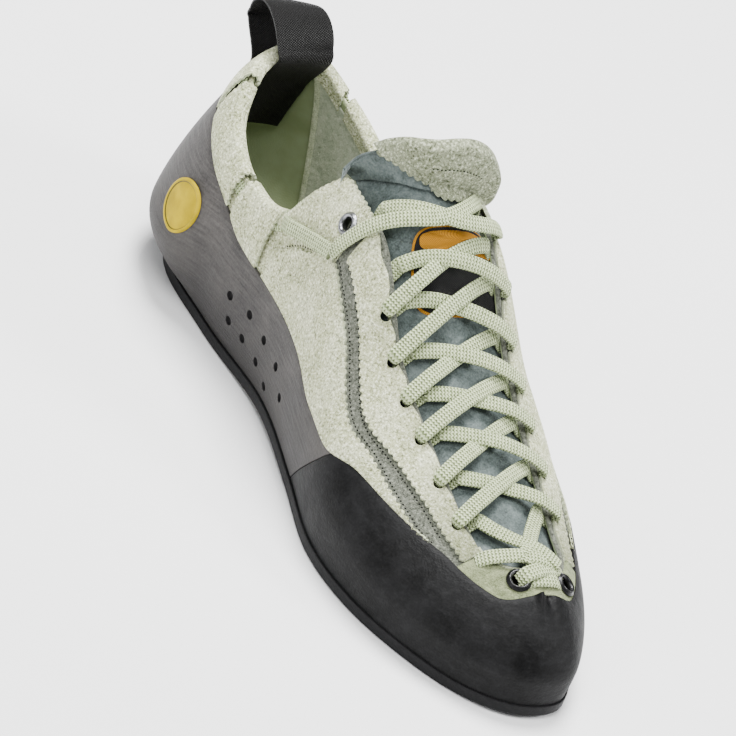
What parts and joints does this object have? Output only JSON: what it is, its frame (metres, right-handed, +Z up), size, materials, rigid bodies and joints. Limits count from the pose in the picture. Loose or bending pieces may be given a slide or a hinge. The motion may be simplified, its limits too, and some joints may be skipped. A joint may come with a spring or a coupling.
{
  "type": "climbing shoe",
  "caption": "Low lace-up climbing shoe for the right foot: suede upper, rubber rands and sole, padded tongue, heel loop.",
  "frame": {"origin": "underside of the sole below the ball of the foot, on the floor", "axes": "+Z up, -Y to the toe, +Y to the heel, -X to the outer side of the foot"},
  "size_m": [0.088, 0.2586, 0.1166],
  "materials": {
    "sage_suede": "soft brushed suede, matt",
    "tongue_fabric": "padded grey-blue cloth, matt",
    "lace_polyester": "flat woven lace, matt",
    "sole_rubber": "smooth climbing rubber, satin",
    "rand_rubber": "brushed grey rubber, satin",
    "toe_rand_rubber": "dark rubber, satin",
    "insole_board": "lining cloth over board, matt",
    "loop_webbing": "woven webbing, matt",
    "eyelet_enamel": "black enamelled ring, satin",
    "label_fabric": "woven patch, matt",
    "badge_rubber": "moulded yellow rubber, satin"
  },
  "bodies": {
    "root": {"cuff_heel": "sage_suede", "cuff_lateral_front": "sage_suede", "cuff_lateral_rear": "sage_suede", "cuff_medial_front": "sage_suede", "cuff_medial_rear": "sage_suede", "eyelet_toe_lateral": "eyelet_enamel", "eyelet_toe_medial": "eyelet_enamel", "eyelet_top_lateral": "eyelet_enamel", "eyelet_top_medial": "eyelet_enamel", "eyestay_lateral": "sage_suede", "eyestay_medial": "sage_suede", "heel_badge": "badge_rubber", "heel_rand": "rand_rubber", "insole": "insole_board", "lace_crossing_0": "lace_polyester", "lace_crossing_1": "lace_polyester", "lace_crossing_2": "lace_polyester", "lace_crossing_3": "lace_polyester", "lace_crossing_4": "lace_polyester", "lace_crossing_5": "lace_polyester", "lace_crossing_6": "lace_polyester", "lace_crossing_7": "lace_polyester", "lace_side_lateral": "lace_polyester", "lace_side_medial": "lace_polyester", "outsole": "sole_rubber", "pull_loop": "loop_webbing", "toe_rand": "toe_rand_rubber", "tongue": "tongue_fabric", "tongue_label": "label_fabric", "upper": "sage_suede"}
  },
  "joints": []
}
